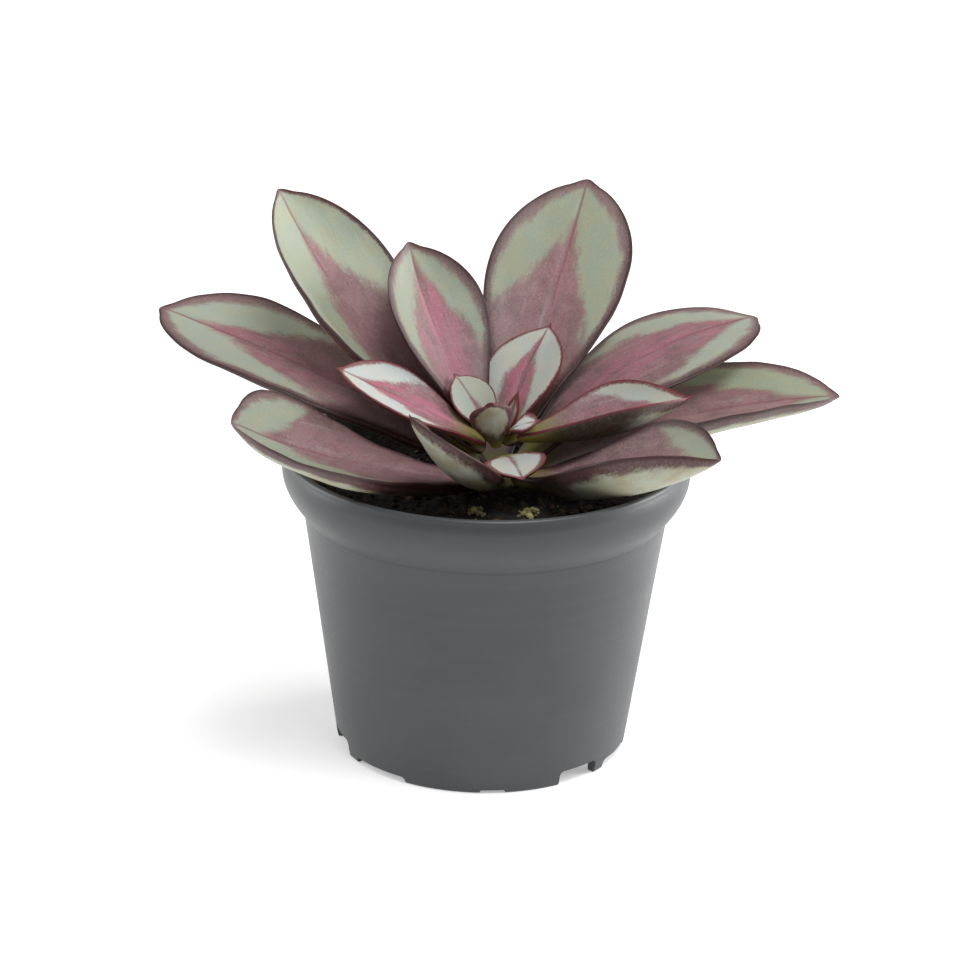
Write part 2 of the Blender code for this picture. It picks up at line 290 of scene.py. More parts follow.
def object_place(tree):
    """Object coordinates in millimetres."""
    place = add(tree, "ShaderNodeTexCoord", out="Object")
    return scaled(place, 1 / MM)


def new_tree(name, inputs):
    """(a Geometry Nodes tree, its inputs by name), for a kind of socket for each name."""
    tree = bpy.data.node_groups.new(name, "GeometryNodeTree")
    for label, kind in inputs.items():
        tree.interface.new_socket(label, in_out="INPUT", socket_type="NodeSocket" + kind)
    tree.interface.new_socket("Geometry", in_out="OUTPUT", socket_type="NodeSocketGeometry")
    entry = tree.nodes.new("NodeGroupInput")
    return tree, {label: Socket(tree, entry.outputs[label]) for label in inputs}


def passed(kind, geometry, **values):
    """Geometry passed through a node, whose other sockets are named in lower case."""
    sockets = {name.title(): value for name, value in values.items()}
    return add(geometry.tree, "GeometryNode" + kind, values={"Geometry": geometry, **sockets})


def stored(geometry, name, value, domain):
    """Geometry that carries a value under a name, for a material to read."""
    settings = {"data_type": "FLOAT", "domain": domain}
    values = {"Geometry": geometry, "Name": name, "Value": value}
    return add(geometry.tree, "GeometryNodeStoreNamedAttribute", settings, values)


def close_tree(geometry, material):
    """Ends a tree: its instances become real, and all of it gets the material."""
    geometry = passed("RealizeInstances", geometry)
    geometry = passed("SetMaterial", geometry, material=material)
    leaving = geometry.tree.nodes.new("NodeGroupOutput")
    geometry.tree.links.new(geometry.socket, leaving.inputs[0])
    return geometry.tree


# ---------- Meshes ----------


def new_object(name, mesh):
    obj = bpy.data.objects.new(name, mesh)
    bpy.context.scene.collection.objects.link(obj)
    return obj


def from_bmesh(name, build):
    mesh = bpy.data.meshes.new(name)
    build.to_mesh(mesh)
    build.free()
    return new_object(name, mesh)


def turned(name, profile, steps, inner=()):
    """A profile of (radius, height) pairs that runs down its outer side, turned about +Z.

    The bands whose numbers are in inner get material slot 1.
    """
    build = bmesh.new()
    rings = []
    for radius, height in profile:
        if radius == 0:
            rings.append([build.verts.new((0, 0, height))] * steps)
            continue
        angles = [2 * pi * i / steps for i in range(steps)]
        rings.append([build.verts.new((radius * cos(a), radius * sin(a), height)) for a in angles])
    for band, (upper, lower) in enumerate(zip(rings, rings[1:])):
        for i in range(steps):
            j = (i + 1) % steps
            corners = list(dict.fromkeys((upper[i], lower[i], lower[j], upper[j])))
            face = build.faces.new(corners)
            face.material_index = int(band in inner)
    bmesh.ops.recalc_face_normals(build, faces=build.faces)
    return from_bmesh(name, build)


def settle(obj):
    """Turns an object's modifiers into a plain mesh."""
    graph = bpy.context.evaluated_depsgraph_get()
    mesh = bpy.data.meshes.new_from_object(obj.evaluated_get(graph))
    mesh.name = obj.name
    obj.modifiers.clear()
    obj.data = mesh


def run_tree(obj, tree, values):
    """Makes an object's mesh with a tree, whose inputs are set by their identifiers."""
    modifier = obj.modifiers.new(tree.name, "NODES")
    modifier.node_group = tree
    for item in tree.interface.items_tree:
        if item.item_type == "SOCKET" and item.in_out == "INPUT" and item.name in values:
            modifier[item.identifier] = values[item.name]
    settle(obj)


def cut(obj, cutter):
    boolean = obj.modifiers.new("cut", "BOOLEAN")
    boolean.operation = "DIFFERENCE"
    boolean.solver = "EXACT"
    boolean.object = cutter
    settle(obj)
    bpy.data.objects.remove(cutter)


def hand_over(obj, slot, *nodes):
    """Puts a finished piece on the frame's body, in the place of its CAD nodes."""
    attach(obj, BODY)
    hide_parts(*nodes)


def displace(obj, move):
    """Moves each vertex by the vector that move gives for its place."""
    for vertex in obj.data.vertices:
        vertex.co += move(vertex.co)


# ---------- Leaves ----------

LEAF_SEGMENTS = 96
LEAF_RINGS = 80
SEED_STEP = 3.7  # sets one leaf's noise apart from the next one's
TINY = 0.0001  # keeps a division from meeting zero
ROOT_WIDTH = 0.22
ROOT_ROUND = 0.05
UPPER_SHARE = 0.35  # of the thickness, above the blade's middle
FULLNESS = 0.38  # how much of the thickness comes and goes with the blade's belly
FULL_TO = 0.8  # the belly ends at this share of the length
TIP_BLUNTNESS = 6
MUCRO = 1.2 * MM
MUCRO_START = 0.985
LEAST_CURL = radians(1)
CREASE_DEPTH = 0.45 * MM  # of the channel along the midrib
CREASE_WIDTH = 0.09  # of the half-width
RIPPLE = 0.8 * MM  # how far a margin waves
RIPPLE_LENGTH = 14 * MM
RIPPLE_APART = 5  # sets one margin's waves apart from the other's
SWELL = 0.5 * MM  # how uneven the blade is
SWELL_LENGTH = 16 * MM
SWELL_WIDTH = 9 * MM
SWELL_APART = 7  # sets the swells apart from the waves
FULL_WIDTH = 40 * MM  # narrower leaves are less uneven

LEAF_ANGLES = ("Heading", "Lift Root", "Lift Tip", "Twist", "Curl Left", "Curl Right", "Bend")
LEAF_LENGTHS = ("Length", "Width", "Thickness")
LEAF_SHARES = ("Widest", "Point", "Neck")
LEAF_NUMBERS = (*LEAF_ANGLES, *LEAF_LENGTHS, *LEAF_SHARES, "Seed")
LEAF_INPUTS = {**dict.fromkeys(LEAF_NUMBERS, "Float"), "Root": "Vector", "Material": "Material"}


def arc_sum(along, start, turn):
    """(cosine, sine) of an angle summed from the root: it starts at start and turns by turn in all."""
    half = turn * along / 2
    bow = half.size() + TINY
    chord = along * bow.sin() / bow
    middle = start + half
    return chord * middle.cos(), chord * middle.sin()


def spine_place(given, along):
    """Where the midrib is, for a direction that changes evenly from root to tip."""
    lift, rise = given["Lift Root"], given["Lift Tip"] - given["Lift Root"]
    heading = given["Heading"] - given["Bend"] / 2
    sum_cos, sum_sin = arc_sum(along, lift + heading, rise + given["Bend"])
    gap_cos, gap_sin = arc_sum(along, lift - heading, rise - given["Bend"])
    _, height = arc_sum(along, lift, rise)
    run = combine((sum_cos + gap_cos) / 2, (sum_sin - gap_sin) / 2, height)
    return vector_math("ADD", scaled(run, given["Length"]), given["Root"])


def leaf_axes(given, along):
    """Unit vectors along the leaf, to its left and out of its upper face."""
    heading = given["Heading"] + given["Bend"] * (along - 0.5)
    lift = given["Lift Root"] + (given["Lift Tip"] - given["Lift Root"]) * along
    flat_cos, flat_sin = heading.cos(), heading.sin()
    forward = combine(lift.cos() * flat_cos, lift.cos() * flat_sin, lift.sin())
    left = combine(-flat_sin, flat_cos, 0.0)
    up = vector_math("CROSS_PRODUCT", forward, left)
    twist = given["Twist"]
    turned_left = weighted((left, twist.cos()), (up, twist.sin()))
    turned_up = weighted((up, twist.cos()), (left, -twist.sin()))
    return forward, turned_left, turned_up


def leaf_outline(given, along, root):
    """Half-width as a share of half the greatest width."""
    reach = along.least(given["Widest"]) / given["Widest"]
    opening = (reach * (pi / 2)).sin() ** given["Neck"] * (1 - ROOT_WIDTH) + ROOT_WIDTH
    past = (along - given["Widest"]).most(0) / (1 - given["Widest"])
    closing = (1 - past**2).most(0) ** given["Point"]
    return opening * closing * root


def leaf_lift(given, along, across, above, half, root):
    """How far the skin stands off the blade's middle.

    The blade isn't even: it has a channel over the midrib, margins that wave, and slow swells.
    """
    upper = above.over(0)
    fullness = ((along / FULL_TO).least(1) * pi).sin() * FULLNESS + (1 - FULLNESS)
    thick = given["Thickness"] * fullness * (1 - along**TIP_BLUNTNESS).most(0).sqrt() * root
    share = (1 - UPPER_SHARE) + (2 * UPPER_SHARE - 1) * upper
    crease = across.size().step(CREASE_WIDTH, 0) * along.step(0.15, 0.4) * along.step(1.0, 0.9)

    run = along * given["Length"]
    wave_at = combine(run / RIPPLE_LENGTH, across.over(0) * RIPPLE_APART, given["Seed"])
    wave = (noise_of(wave_at, 1.0, 1.0) - 0.5) * across**2 * (2 * RIPPLE)
    side = across * half / SWELL_WIDTH
    swell_at = combine(run / SWELL_LENGTH, side, given["Seed"] + SWELL_APART)
    swell = (noise_of(swell_at, 1.0, 1.5) - 0.5) * (2 * SWELL)
    fade = along.step(0.04, 0.3) * along.step(1.0, 0.93) * given["Width"] / FULL_WIDTH
    return thick * share * above - crease * upper * CREASE_DEPTH + (wave + swell) * fade


def leaf_tree():
    """The tree that turns a sphere into a leaf: its poles become root and tip, its rings sections."""
    tree, given = new_tree("succulent_leaf", LEAF_INPUTS)
    counts = {"Segments": LEAF_SEGMENTS, "Rings": LEAF_RINGS, "Radius": 1.0}
    geometry = add(tree, "GeometryNodeMeshUVSphere", values=counts)
    x, y, z = split(add(tree, "GeometryNodeInputPosition"))
    along = (z + 1) / 2
    ring = (1 - z * z).most(0).sqrt().most(TINY)
    across, above = x / ring, y / ring
    root = (1 - (1 - (along / ROOT_ROUND).least(1)) ** 2).most(0).sqrt()
    half = given["Width"] / 2 * leaf_outline(given, along, root)

    forward, left, up = leaf_axes(given, along)
    wider = (given["Curl Left"] - given["Curl Right"]) * across.over(0)
    curl = (given["Curl Right"] + wider).most(LEAST_CURL)
    turn = curl * across
    middle = weighted((left, half * turn.sin() / curl), (up, half * (1 - turn.cos()) / curl))
    normal = weighted((up, turn.cos()), (left, -turn.sin()))
    lift = leaf_lift(given, along, across, above, half, root)
    tip = (along - MUCRO_START).most(0) / (1 - MUCRO_START)
    place = weighted((normal, lift), (forward, tip**2 * MUCRO))
    for part in (middle, spine_place(given, along)):
        place = vector_math("ADD", place, part)

    edge = half * (1 - across.size()) / MM
    marks = {"along": along, "side": half * across / MM, "above": above, "edge": edge}
    for name, value in marks.items():
        geometry = stored(geometry, name, value, "POINT")
    geometry = passed("SetPosition", geometry, position=place)
    geometry = passed("SetShadeSmooth", geometry)
    return close_tree(geometry, given["Material"])


def make_leaf(leaf, tree, material, seed):
    start = radians(leaf.heading - leaf.bend / 2)
    root = CROWN + Vector((cos(start), sin(start), 0)) * leaf.root_radius * MM
    root.z = leaf.root_height * MM
    row = {field.replace("_", " ").title(): value for field, value in leaf._asdict().items()}
    values = {"Root": root, "Seed": float(seed), "Material": material}
    values.update({name: radians(row[name]) for name in LEAF_ANGLES})
    values.update({name: row[name] * MM for name in LEAF_LENGTHS})
    values.update({name: float(row[name]) for name in LEAF_SHARES})
    obj = new_object(leaf.name + "_blade", bpy.data.meshes.new(leaf.name))
    run_tree(obj, tree, values)
    hand_over(obj, "inner_leaf" if leaf.length < INNER_LENGTH else "outer_leaf", leaf.name)


# Colours of a leaf that don't vary from leaf to leaf, beside those in LeafSettings.
DARK_RIM = (0.040, 0.012, 0.012)
RED_RIM = (0.20, 0.022, 0.028)
MAROON_RIM = (0.125, 0.016, 0.024)
LEAF_BASE = (0.20, 0.19, 0.035)
# Olive under the leaf towards its root, darkened as painted shade.
UNDER_OLIVE_AND_SHADE = (0.045, 0.032, 0.018)
FARINA = (0.72, 0.72, 0.68)
NERVE = (0.20, 0.045, 0.055)
COOLER = (0.93, 0.99, 1.02)
WARMER = (1.03, 1.00, 0.93)

# Noises that follow the blade: changes in each millimetre along it and across it, and their octaves.
STREAKS = (1 / 9, 0.30, 5.0)
WISPS = (1 / 14, 0.50, 4.0)
BLOTCHES = (1 / 6, 1 / 6, 3.0)
INNER_FINENESS = 1.3  # streaks and wisps are finer by this on the inner leaves
FACES_APART = 9  # sets the noise of the upper face apart from the underside's

# How much of its colour each mark lends where it shows.
DARK_GRAIN = 0.35
PALE_WISPS = 0.40
FLAME_OUTLINE = 0.40
NERVE_LINE = 0.55
RED_MARGIN = 0.70
MARGIN_COVER = 0.92
DUSKY_WISPS = 0.50
WAX_SPECKS = 0.28
WAX_BLOOM = 0.13
BASE_COVER = 0.92


class Marks:
    """The leaf's own coordinates, and the noise that follows them, for its material."""

    def __init__(self, tree, leaf, seed):
        names = ("along", "side", "above", "edge")
        self.along, self.side, self.above, self.edge = (attribute(tree, name) for name in names)
        self.share = self.side.size() / (self.side.size() + self.edge).most(0.01)
        self.inner = leaf.length < INNER_LENGTH
        fine = INNER_FINENESS if self.inner else 1.0
        face = self.above.over(0) * FACES_APART + seed
        run = self.along * leaf.length

        def noise(kind, fineness, offset):
            lengthwise, sideways, octaves = kind
            x, y = run * (fineness * lengthwise), self.side * (fineness * sideways)
            return noise_of(combine(x, y, face + offset), 1.0, octaves, 0.6) - 0.5

        self.streaks = noise(STREAKS, fine, 0)
        self.wisps = noise(WISPS, fine, 3)
        self.blotches = noise(BLOTCHES, 1.0, 5)
        self.place = combine(run, self.side, self.above + seed)
        self.grain = noise_of(self.place, 1.2, 4.0, 0.8) - 0.5


def flame_width(marks, marking):
    """Half-width of the flame as a share of the blade's: it narrows upwards to the tip."""
    reach = (marking.tip - marks.along).most(0)
    left = (reach / (marking.tip - marking.cover_left)) ** marking.curve
    right = (reach / (marking.tip - marking.cover_right)) ** marking.curve
    return right + (left - right) * marks.side.over(0)


def patch_skin(marks, patch):
    """A patch, a little cooler here and warmer there, with darker grain."""
    cool, warm = ([c * k for c, k in zip(patch, tint)] for tint in (COOLER, WARMER))
    colour = mix(marks.blotches.step(-0.15, 0.15), cool, warm)
    return mix(marks.grain.step(0.02, 0.30) * DARK_GRAIN, colour, [c * 0.72 for c in patch])


def flame_skin(marks, marking, inside, patch, settings):
    """The flame: dusky and mauve, with pale wisps, dark grain, pink streaks and a fine outline."""
    along, streaks, grain = marks.along, marks.streaks, marks.grain
    flame = mix(marks.blotches.step(-0.18, 0.12), settings.dusky, settings.flame)
    flame = mix((marks.wisps + grain * 0.4).step(0.0, 0.30) * PALE_WISPS, flame, patch)
    flame = mix(grain.step(0.0, -0.25) * DARK_GRAIN, flame, settings.band)
    vivid = (marks.wisps * 0.8 + streaks + 0.10).step(-0.02, 0.16) * marks.share.step(0.75, 0.1)
    flame = mix(vivid * marking.pink * along.step(0.1, 0.3), flame, settings.pink)
    outline = inside.step(0.16, 0.04) * along.step(0.4, 0.7)
    return mix(outline * FLAME_OUTLINE, flame, NERVE)


def upper_skin(marks, marking, patch, settings):
    """The upper face: patches either side of the flame, inside a mauve band."""
    along, streaks, grain = marks.along, marks.streaks, marks.grain
    frayed = (streaks + grain) * 0.45 * along.step(1.05, 0.7)
    inside = flame_width(marks, marking) - marks.share + frayed
    flame = flame_skin(marks, marking, inside, patch, settings)
    colour = mix(inside.step(-0.08, 0.12), patch_skin(marks, patch), flame)
    nerve = marks.side.size().step(0.55, 0.15) * (along + streaks * 0.5).step(0.45, 0.75)
    colour = mix(nerve * NERVE_LINE, colour, NERVE)

    reach = along.step(0.55, 1.0, marking.band, marking.band * 1.9)
    ragged = marks.edge + streaks * reach * 1.3 + grain * 1.8
    margin = mix(marks.edge.step(0.8, 3.2), settings.band, settings.dusky)
    margin = mix(RED_MARGIN, margin, RED_RIM) if marks.inner else margin
    colour = mix((ragged / reach).step(1.25, 0.60) * MARGIN_COVER, colour, margin)
    # Painted shade: the whole upper face turns towards black by the last number of its marking.
    return mix(1 - marking.tone, colour, (0.0, 0.0, 0.0))


def under_skin(marks, leaf, patch, settings):
    """The underside: a cream belly inside a broad dark band, olive towards the root, darkened there as
    painted shade.
    """
    belly = mix(marks.blotches.step(-0.15, 0.2), settings.belly, patch)
    belly = mix(marks.wisps.step(0.0, 0.3) * DUSKY_WISPS, belly, settings.dusky)
    breadth = 1.2 + leaf.width * 0.05
    ragged = marks.edge + marks.streaks * breadth * 1.5 + marks.grain * 2
    colour = mix(ragged.step(breadth * 1.5, breadth * 0.8), belly, settings.under)
    # Painted shade: the underside turns dark olive towards the root, over more of it on the leaves in
    # DARK_BELOW.
    olive_and_shade_span = (0.95, 0.55) if leaf.name in DARK_BELOW else (0.5, 0.25)
    return mix((marks.along + marks.streaks * 0.4).step(*olive_and_shade_span), colour, UNDER_OLIVE_AND_SHADE)


def waxed(marks, colour):
    """A colour under farina: pale specks of wax, and a faint uneven bloom over everything."""
    cells = {"Vector": marks.place, "Scale": 1.1}
    specks = add(colour.tree, "ShaderNodeTexVoronoi", values=cells, out="Distance").step(0.20, 0.06)
    sparse = noise_of(marks.place, 0.30, 1.0).step(0.47, 0.60)
    colour = mix(specks * sparse * WAX_SPECKS, colour, FARINA)
    return mix(marks.grain.step(-0.1, 0.35) * WAX_BLOOM, colour, FARINA)


def leaf_skin(marks, leaf, settings):
    """The colour of a leaf's blade, in coordinates that follow it."""
    white = leaf.marking.white
    patch = [a + (b - a) * white for a, b in zip(settings.patch, settings.pale)]
    upper = upper_skin(marks, leaf.marking, patch, settings)
    under = under_skin(marks, leaf, patch, settings)
    colour = waxed(marks, mix(marks.above.step(-0.12, 0.02), under, upper))
    base_end, rim_width, rim_colour = (0.32, 0.65, MAROON_RIM) if marks.inner else (0.18, 1.2, DARK_RIM)
    base = (marks.along + marks.streaks * 0.1).step(base_end, 0.06)
    colour = mix(base * BASE_COVER, colour, LEAF_BASE)
    rim = (marks.edge + (marks.grain + marks.streaks) * 0.6).step(rim_width, rim_width * 0.4)
    return mix(rim, colour, rim_colour)


def leaf_material(leaf, settings, seed):
    name = leaf.name + "_skin"
    material, tree, shader = new_material(name, settings.roughness, subsurface_weight=0.12)
    shader.inputs["Subsurface Radius"].default_value = (1.0, 0.5, 0.35)
    shader.inputs["Subsurface Scale"].default_value = 2 * MM
    marks = Marks(tree, leaf, seed)
    feed(shader, "Base Color", leaf_skin(marks, leaf, settings))
    feed(shader, "Roughness", (marks.grain * 0.5 + settings.roughness).least(0.9))
    bump(shader, marks.grain * 0.7 + marks.streaks, 0.45, 0.3 * MM)
    return material


# ---------- Pot ----------

POT_STEPS = 256
STEP_LINE = 0.35 * MM  # how far the wall steps out where the flare starts
FOOT_ROUND = 0.7 * MM
NOTCH_ROUND = 1.2 * MM
SHARP_ANGLE = radians(38)


def flare(count, inset=0.0):
    """The flare from its start to the rim, a quadratic curve, moved inwards by inset."""
    start = Vector((FLARE_RADIUS, FLARE_HEIGHT))
    end = Vector((RIM_RADIUS, POT_HEIGHT - LIP / 2))
    steps = [i / (count - 1) for i in range(count)]
    curve = [start * (1 - t) ** 2 + BULGE * 2 * t * (1 - t) + end * t**2 for t in steps]
    return [(point.x - inset, point.y) for point in curve]


def wall_radius(height):
    return BASE_RADIUS + (FLARE_RADIUS - BASE_RADIUS) * height / FLARE_HEIGHT


def rounded(centre, radius, start, end, count=6):
    """Points of an arc, from one angle to another in degrees."""
    angles = [radians(start + (end - start) * i / (count - 1)) for i in range(count)]
    return [(centre[0] + radius * cos(a), centre[1] + radius * sin(a)) for a in angles]


def pot_profile():
    """The pot's section, from mid-floor up inside and down outside, and which bands are inside."""
    ledge = FLOOR_RISE + FLOOR
    cup = CENTRE_FOOT_RADIUS - FLOOR / 2
    inside_foot = wall_radius(ledge) - WALL
    floor_top = [(0, FLOOR), (cup - CENTRE_FOOT_TAPER, FLOOR), (cup, ledge), (inside_foot, ledge)]
    inside = flare(18, WALL)[:-1]
    bead = LIP / 2
    lip = rounded((RIM_RADIUS - bead, POT_HEIGHT - bead), bead, 180, 0, 14)
    outside = list(reversed(flare(24)))[1:-1]
    outside.append((FLARE_RADIUS + STEP_LINE * 0.8, FLARE_HEIGHT + 0.2 * MM))
    outside.append((FLARE_RADIUS, FLARE_HEIGHT - STEP_LINE))
    wall = [(wall_radius(FLARE_HEIGHT * t), FLARE_HEIGHT * t) for t in (0.8, 0.6, 0.4, 0.2, 0.03)]
    foot_round = rounded((BASE_RADIUS - FOOT_ROUND, FOOT_ROUND), FOOT_ROUND, 0, -90, 5)
    foot_inside = BASE_RADIUS - FOOT_WIDTH
    below = [(foot_inside, 0), (foot_inside, FLOOR_RISE), (CENTRE_FOOT_RADIUS, FLOOR_RISE)]
    below += [(CENTRE_FOOT_RADIUS - CENTRE_FOOT_TAPER, 0), (0, 0)]
    inner_bands = range(len(floor_top) + len(inside) + 2)
    return floor_top + inside + lip + outside + wall + foot_round + below, inner_bands


def drain_cutter():
    build = bmesh.new()
    ring_radius = (CENTRE_FOOT_RADIUS + BASE_RADIUS - FOOT_WIDTH) / 2
    for i in range(DRAIN_HOLES):
        turn = Matrix.Rotation(2 * pi * (i + 0.5) / DRAIN_HOLES, 4, "Z")
        place = turn @ Matrix.Translation((ring_radius, 0, FLOOR_RISE + FLOOR / 2))
        ends = {"radius1": DRAIN_HOLE_RADIUS, "radius2": DRAIN_HOLE_RADIUS, "depth": 3 * FLOOR}
        bmesh.ops.create_cone(build, cap_ends=True, segments=40, matrix=place, **ends)
    return from_bmesh("drain_holes", build)


def notch_cutter():
    """Blocks with rounded upper edges that cut the notches in the foot ring."""
    build = bmesh.new()
    middle = BASE_RADIUS - FOOT_WIDTH / 2
    for azimuth, width, rise in FOOT_NOTCHES:
        height = rise * MM
        across = 2 * BASE_RADIUS * sin(radians(width) / 2)
        size = Matrix.Diagonal((3 * FOOT_WIDTH, across, 2 * height, 1))
        place = Matrix.Rotation(radians(azimuth), 4, "Z") @ Matrix.Translation((middle, 0, 0))
        block = bmesh.ops.create_cube(build, size=1)["verts"]
        upper = {e for v in block for e in v.link_edges if all(end.co.z > 0 for end in e.verts)}
        edges = [e for e in upper if e.verts[0].co.y * e.verts[1].co.y > 0]
        bmesh.ops.transform(build, matrix=place @ size, verts=block)
        offset = min(NOTCH_ROUND, height * 0.7)
        bmesh.ops.bevel(build, geom=edges, offset=offset, segments=4, affect="EDGES", profile=0.5)
    return from_bmesh("foot_notches", build)


def pot_material(settings):
    """Matte moulded plastic: faint flow bands round the wall, fine grain and scuffs, a painted
    highlight along the rim, lighter near the foot, and a painted shade line under the step where the
    flare starts.
    """
    material, tree, shader = new_material("moulded_grey_plastic", settings.roughness)
    place = object_place(tree)
    x, y, z = split(place)
    clouds = noise_of(combine(x / 22, y / 22, z / 16), 1.0, 3.0) - 0.5
    bands = noise_of(combine(x / 90, y / 90, z / 1.7), 1.0, 2.0) - 0.5
    grain = noise_of(place, 3.0, 3.0, 0.6) - 0.5
    scuffs = noise_of(combine(x / 1.5, y / 1.5, z / 5), 1.0, 4.0, 0.7).step(0.60, 0.74)
    base = settings.colour
    light = [min(1, c * 1.35) for c in base]
    dark = [c * 0.85 for c in base]
    colour = mix(clouds.step(-0.35, 0.35) * 0.6, dark, light)
    # Painted shade: a dark line just under the step where the flare starts.
    step_shade = (z - (FLARE_HEIGHT / MM - 0.2)).size().step(0.7, 0.1)
    colour = mix(step_shade * 0.6, colour, [c * 0.45 for c in base])
    colour = mix(bands.step(-0.1, 0.3) * 0.25, colour, light)
    # Painted highlight along the top of the rim, and lighter near the foot; the scuffs are wear.
    rim_highlight_and_foot = (z.step(POT_HEIGHT / MM - 2.2, POT_HEIGHT / MM - 0.4) + z.step(3.0, 0.3)).least(1)
    colour = mix(rim_highlight_and_foot * 0.35 + scuffs * 0.20, colour, light)
    feed(shader, "Base Color", colour)
    feed(shader, "Roughness", (clouds * 0.2 + grain * 0.35 - scuffs * 0.08 + settings.roughness))
    bump(shader, grain * 0.5 + bands * 0.6, 0.25, 0.08 * MM)
    return material


def pot_inside_material(settings):
    """The pot's inner side: the same plastic with painted shade, half as light, under dried peat
    splashes.
    """
    material, tree, shader = new_material("soiled_grey_plastic", 0.7)
    place = object_place(tree)
    z = split(place)[2]
    dirt = noise_of(place, 0.5, 5.0, 0.65) + z.step(POT_HEIGHT / MM - 1.5, MIX_TOP / MM) * 0.4
    # Painted shade: the inner plastic is half as light as the outer.
    shaded_plastic = [c * 0.5 for c in settings.colour]
    colour = mix(dirt.step(0.35, 0.62), shaded_plastic, settings.soiling)
    feed(shader, "Base Color", colour)
    bump(shader, noise_of(place, 1.5, 4.0), 0.4, 0.3 * MM)
    return material


# ---------- Potting mix ----------

MIX_STEPS = 180
MIX_RINGS = 70
EDGE_FADE = 3 * MM  # the surface is smoother this near the wall
COARSE_CRUMBS = (7 * MM, 0.7, 2.1, 4, 0.9 * MM)  # size, falloff, ratio, octaves, height
FINE_CRUMBS = (1.6 * MM, 0.6, 2.2, 3, 0.35 * MM)
MOSS_DENSITY = 500000
MOSS_CLUMPS = ((-2.0 * MM, -20 * MM, 2.6 * MM), (11 * MM, -21 * MM, 4.2 * MM))  # (x, y, radius)
MOUND_TOP = 1.8 * MM
MOUND_DROP = 1.4 * MM
SCATTER_DROP = 1.5 * MM  # grains lie no further than this under the mix's edge
SCATTER_NUMBERS = dict.fromkeys(("Density", "Smallest", "Largest", "Flatness"), "Float")
SCATTER_INPUTS = {"Ground": "Geometry", **SCATTER_NUMBERS, "Seed": "Int", "Material": "Material"}


def mix_edge():
    """(radius of the mix's top edge, radius at its foot)."""
    side = [point for point in flare(18, WALL + GAP) if point[1] < MIX_TOP]
    return side[-1][0], wall_radius(MIX_BOTTOM) - WALL - GAP


def crumbly(place):
    """Height of the loose surface over its mean, in metres."""
    kinds = (COARSE_CRUMBS, FINE_CRUMBS)
    return sum(noise.fractal(place / size, *form) * height for size, *form, height in kinds)


def make_mix_body():
    edge, foot = mix_edge()
    rings = [i / MIX_RINGS for i in range(MIX_RINGS + 1)]
    profile = [(edge * t, MIX_TOP + MIX_DOME * (1 - t * t)) for t in rings]
    below = [point for point in flare(18, WALL + GAP) if point[1] < MIX_TOP - MM]
    profile += list(reversed(below))
    profile += [(foot, MIX_BOTTOM), (0, MIX_BOTTOM)]
    body = turned("potting_mix_body", profile, MIX_STEPS)

    def move(place):
        if place.z < MIX_TOP - 0.1 * MM:
            return Vector()
        fade = min(1, (edge - place.xy.length) / EDGE_FADE)
        return Vector((0, 0, crumbly(place) * max(0.15, fade)))

    displace(body, move)
    body.data.shade_smooth()
    return body


def scatter_tree():
    """The tree that strews lumpy grains over the ground's upward faces and drops the ground itself."""
    tree, given = new_tree("scattered_grains", SCATTER_INPUTS)
    facing = split(add(tree, "GeometryNodeInputNormal"))[2]
    height = split(add(tree, "GeometryNodeInputPosition"))[2]
    values = {"Mesh": given["Ground"], "Density": given["Density"], "Seed": given["Seed"]}
    values["Selection"] = facing.over(0.3) * height.over(MIX_TOP - SCATTER_DROP)
    points = add(tree, "GeometryNodeDistributePointsOnFaces", {"distribute_method": "RANDOM"}, values)

    grain = add(tree, "GeometryNodeMeshUVSphere", values={"Segments": 8, "Rings": 5, "Radius": 1.0})
    place = add(tree, "GeometryNodeInputPosition")
    lumpy = scaled(place, noise_of(place, 1.3, 2.0) * 0.9 + 0.55)
    grain = passed("SetPosition", grain, position=lumpy)
    grain = add(tree, "GeometryNodeSetShadeSmooth", values={"Geometry": grain, "Shade Smooth": False})

    def chance(low, high, offset):
        values = {2: low, 3: high, "Seed": given["Seed"] + offset}
        return add(tree, "FunctionNodeRandomValue", {"data_type": "FLOAT"}, values, out=1)

    size = given["Smallest"] + (given["Largest"] - given["Smallest"]) * chance(0.0, 1.0, 1) ** 2
    scale = combine(size, size * chance(0.45, 0.9, 2), size * given["Flatness"])
    turn = combine(chance(-0.6, 0.6, 3), chance(-0.6, 0.6, 4), chance(0.0, 2 * pi, 5))
    values = {"Points": points, "Instance": grain, "Rotation": turn, "Scale": scale}
    strewn = add(tree, "GeometryNodeInstanceOnPoints", values=values)
    strewn = stored(strewn, "shade", chance(0.0, 1.0, 6), "INSTANCE")
    return close_tree(strewn, given["Material"])


def make_grains(name, ground, tree, material, density, smallest, largest, flatness, seed):
    """Grains strewn over the ground, as one plain mesh. density is in grains for each square metre."""
    obj = new_object(name, ground.data.copy())
    values = {"Density": float(density), "Smallest": smallest, "Largest": largest}
    values.update({"Flatness": flatness, "Seed": seed, "Material": material})
    run_tree(obj, tree, values)
    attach(obj, BODY)


def clump_ground(name, x, y, radius):
    """A low mound to strew moss over."""
    steps = [i / 6 for i in range(7)]
    profile = [(radius * t, MIX_TOP + MOUND_TOP - MOUND_DROP * t * t) for t in steps]
    mound = turned(name, profile + [(0, MIX_TOP)], 24)
    mound.data.transform(Matrix.Translation((x, y, 0)))
    return mound


def grain_material(name, dark, light, roughness):
    """Fibrous crumbs: each has its own shade between two colours, with darker pores."""
    material, tree, shader = new_material(name, roughness)
    place = object_place(tree)
    pores = noise_of(place, 2.5, 4.0, 0.7)
    shade = attribute(tree, "shade") * 0.7 + pores * 0.5
    colour = mix(shade.step(0.2, 1.0), dark, light)
    feed(shader, "Base Color", colour)
    bump(shader, pores, 0.6, 0.3 * MM)
    return material


# ---------- Stem ----------

STEM_SEGMENTS = 64
STEM_SCARS = 9  # rings of old leaf scars up the stem
SCAR_DEPTH = 0.3 * MM


